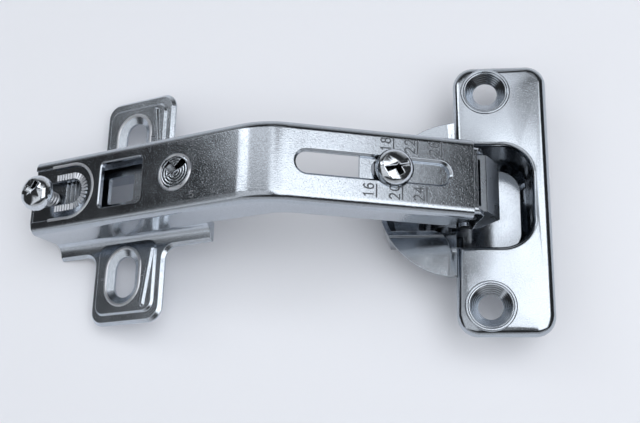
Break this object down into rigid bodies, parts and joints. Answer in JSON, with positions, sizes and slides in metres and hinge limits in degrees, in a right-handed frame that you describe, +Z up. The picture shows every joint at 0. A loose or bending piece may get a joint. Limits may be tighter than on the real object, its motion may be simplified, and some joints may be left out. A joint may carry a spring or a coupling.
{
  "type": "concealed cup hinge",
  "caption": "Concealed cup hinge for an angled door: bowl with screw flange, folding links, cranked arm adjustable in length, and a winged mounting plate.",
  "frame": {"origin": "axis of the 35 mm bowl, on the floor under the bowl", "axes": "+X from the arm to the cup along the hinge, +Y across it along the flange, +Z up, out of the cup"},
  "size_m": [0.1151, 0.0604, 0.0377],
  "materials": {
    "nickel_sheet": "satin nickel plate",
    "link_steel": "satin nickel plate",
    "pin_steel": "bright",
    "screw_steel": "bright nickel plate",
    "plate_zinc": "bright nickel plate"
  },
  "bodies": {
    "cup": {"cup": "nickel_sheet", "cup_pin": "pin_steel", "cup_rivet_front": "pin_steel", "cup_rivet_rear": "pin_steel"},
    "outer_link": {"outer_link": "link_steel"},
    "inner_link": {"inner_link": "link_steel"},
    "inner_arm": {"inner_arm": "nickel_sheet", "arm_pin_upper": "pin_steel", "arm_pin_lower": "pin_steel", "length_screw_nut": "pin_steel"},
    "outer_arm": {"outer_arm": "nickel_sheet"},
    "mounting_plate": {"mounting_plate": "plate_zinc"},
    "length_screw": {"length_screw": "screw_steel"},
    "overlay_screw": {"overlay_screw": "screw_steel"},
    "fixing_screw": {"fixing_screw": "screw_steel"}
  },
  "joints": [
    {"name": "fold", "type": "hinge", "parent": "cup", "child": "outer_link", "pos_m": [-0.003, 0, 0.008], "axis": [0, 1, 0], "range_deg": [0, 50.1]},
    {"name": "arm_on_link", "type": "hinge", "parent": "outer_link", "child": "inner_arm", "pos_m": [0.00203, 0, 0.01979], "axis": [0, 1, 0], "range_deg": [0, 21.3]},
    {"name": "inner_link_on_cup", "type": "hinge", "parent": "cup", "child": "inner_link", "pos_m": [-0.00665, 0, 0.00458], "axis": [0, 1, 0], "range_deg": [0, 21.6]},
    {"name": "length_slide", "type": "slide", "parent": "inner_arm", "child": "outer_arm", "axis": [-0.9478, 0, 0.319], "range_m": [-0.003, 0.009]},
    {"name": "depth_slide", "type": "slide", "parent": "outer_arm", "child": "mounting_plate", "axis": [-0.9278, 0, -0.373], "range_m": [-0.0025, 0.0025]},
    {"name": "length_screw_turn", "type": "hinge", "parent": "inner_arm", "child": "length_screw", "pos_m": [-0.01317, 0, 0.03014], "axis": [0.319, 0, 0.9478], "continuous": true},
    {"name": "overlay_screw_turn", "type": "hinge", "parent": "outer_arm", "child": "overlay_screw", "pos_m": [-0.05759, 0, 0.03108], "axis": [-0.373, 0, 0.9278], "continuous": true},
    {"name": "fixing_screw_turn", "type": "hinge", "parent": "mounting_plate", "child": "fixing_screw", "pos_m": [-0.08853, -0.00105, 0.01864], "axis": [-0.373, 0, 0.9278], "continuous": true}
  ],
  "couplings": [
    {"joint": "arm_on_link", "follows": "fold", "ratio": 0.4245},
    {"joint": "inner_link_on_cup", "follows": "fold", "ratio": 0.4302}
  ]
}
